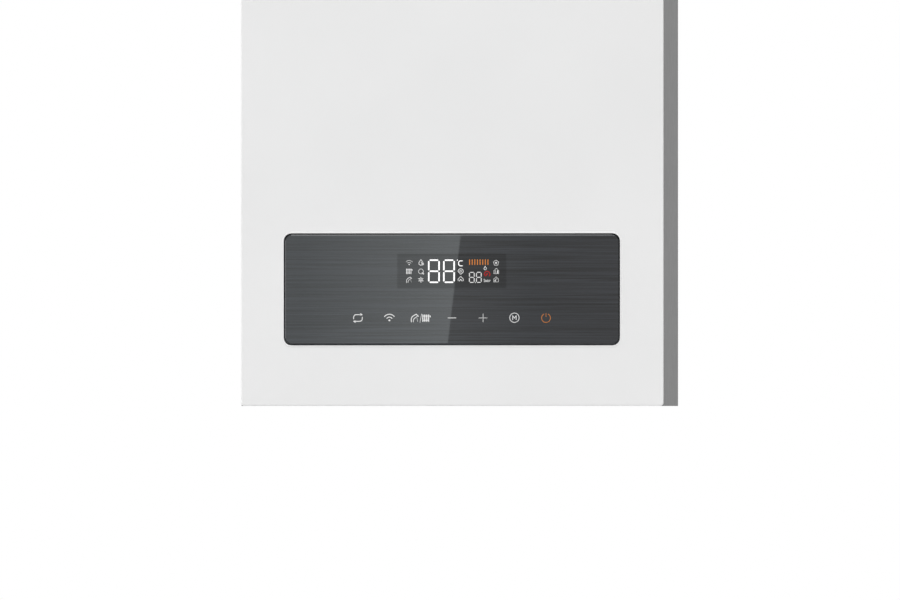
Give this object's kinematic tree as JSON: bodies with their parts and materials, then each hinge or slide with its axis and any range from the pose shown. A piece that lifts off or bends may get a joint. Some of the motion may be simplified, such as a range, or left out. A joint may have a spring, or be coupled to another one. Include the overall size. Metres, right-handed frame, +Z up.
{
  "type": "combi boiler",
  "caption": "Wall-hung gas combi boiler: white front cover with a dark glass touch panel, grey sides, tilting control box, condensing heat exchanger, fan, pump and pipe stubs below.",
  "frame": {"origin": "centre of the wall bracket's back face, on the wall", "axes": "+Z up, +Y into the wall, -Y towards the viewer (the front cover faces -Y), +X to the viewer's right"},
  "size_m": [0.42, 0.321, 0.785],
  "materials": {
    "white_enamel": "semi-gloss powder coat",
    "grey_enamel": "satin powder coat",
    "galvanised": "zinc-coated sheet",
    "dark_glass": "polished glass with a dark grey print on its back",
    "black_plastic": "fine texture",
    "grey_plastic": "fine texture",
    "white_plastic": "smooth",
    "clear_plastic": "smooth",
    "circuit": "solder mask",
    "stainless": "rolled stainless steel",
    "cast_aluminium": "as cast",
    "brass": "machined",
    "copper": "drawn copper tube",
    "steel": "bright",
    "red_enamel": "gloss paint",
    "rubber": "moulded",
    "seal": "closed-cell strip",
    "ceramic": "fired",
    "red_plastic": "smooth",
    "blue_plastic": "smooth"
  },
  "bodies": {
    "casing": {"left_side_panel": "grey_enamel", "right_side_panel": "grey_enamel", "top_panel": "grey_enamel", "wall_bracket": "galvanised", "rear_panel": "galvanised", "bottom_plate": "galvanised", "support_plate": "galvanised", "fan_motor": "black_plastic", "air_silencer": "black_plastic", "return_block": "black_plastic", "flow_block": "black_plastic", "diverter_actuator": "black_plastic", "pressure_sensor": "black_plastic", "pump_volute": "grey_plastic", "pump_motor": "grey_plastic", "condensate_trap": "grey_plastic", "flue_pipe": "white_plastic", "flue_adapter": "white_plastic", "flow_sensor_body": "clear_plastic", "heat_exchanger": "stainless", "burner_tube": "stainless", "plate_heat_exchanger": "stainless", "burner_door": "cast_aluminium", "fan_housing": "cast_aluminium", "fan_back_plate": "cast_aluminium", "venturi": "cast_aluminium", "gas_valve": "cast_aluminium", "filling_valve": "brass", "safety_valve": "brass", "air_vent": "brass", "gas_pipe": "copper", "flow_pipe": "copper", "return_pipe": "copper", "cover_catch_left": "steel", "cover_catch_right": "steel", "pivot_pin_left": "steel", "pivot_pin_right": "steel", "expansion_vessel": "red_enamel", "cable_grommet": "rubber", "door_gasket": "rubber", "vessel_hose": "rubber", "flue_seal": "rubber", "door_insulation": "ceramic", "ignition_electrode": "ceramic"},
    "cover": {"front_cover": "white_enamel", "cover_seal": "seal"},
    "controls": {"control_box": "grey_plastic", "control_box_lid": "grey_plastic", "panel_frame": "black_plastic", "touch_glass": "dark_glass", "display_board": "circuit", "main_board": "circuit", "ignition_transformer": "black_plastic", "terminal_block": "white_plastic"},
    "fan_rotor": {"fan_impeller": "black_plastic"},
    "pump_rotor": {"pump_impeller": "blue_plastic"},
    "turbine": {"flow_turbine": "blue_plastic"},
    "diverter": {"diverter_spindle": "brass"},
    "filling_tap": {"filling_knob": "blue_plastic"},
    "relief_tap": {"safety_valve_knob": "red_plastic"}
  },
  "joints": [
    {"name": "front_cover_off", "type": "slide", "parent": "casing", "child": "cover", "axis": [0, -1, 0], "range_m": [0, 0.42]},
    {"name": "control_box_swing", "type": "hinge", "parent": "casing", "child": "controls", "pos_m": [0, -0.286, -0.623], "axis": [1, 0, 0], "range_deg": [0, 90]},
    {"name": "fan_spin", "type": "hinge", "parent": "casing", "child": "fan_rotor", "pos_m": [-0.112, -0.242, -0.185], "axis": [0, -1, 0], "continuous": true},
    {"name": "pump_spin", "type": "hinge", "parent": "casing", "child": "pump_rotor", "pos_m": [0.13, -0.14, -0.487], "axis": [0, -1, 0], "continuous": true},
    {"name": "flow_turbine_spin", "type": "hinge", "parent": "casing", "child": "turbine", "pos_m": [0.07, -0.115, -0.512], "axis": [0, 0, 1], "continuous": true},
    {"name": "diverter_travel", "type": "slide", "parent": "casing", "child": "diverter", "axis": [0, 0, 1], "range_m": [0, 0.008]},
    {"name": "filling_knob_turn", "type": "hinge", "parent": "casing", "child": "filling_tap", "pos_m": [0.09, -0.1603, -0.656], "axis": [0, 0, 1], "range_deg": [0, 90]},
    {"name": "safety_knob_turn", "type": "hinge", "parent": "casing", "child": "relief_tap", "pos_m": [0.148, -0.197, -0.585], "axis": [0, -1, 0], "range_deg": [0, 90]}
  ],
  "couplings": [
    {"joint": "control_box_swing", "follows": "front_cover_off", "rad_per_m": 3.7398}
  ]
}
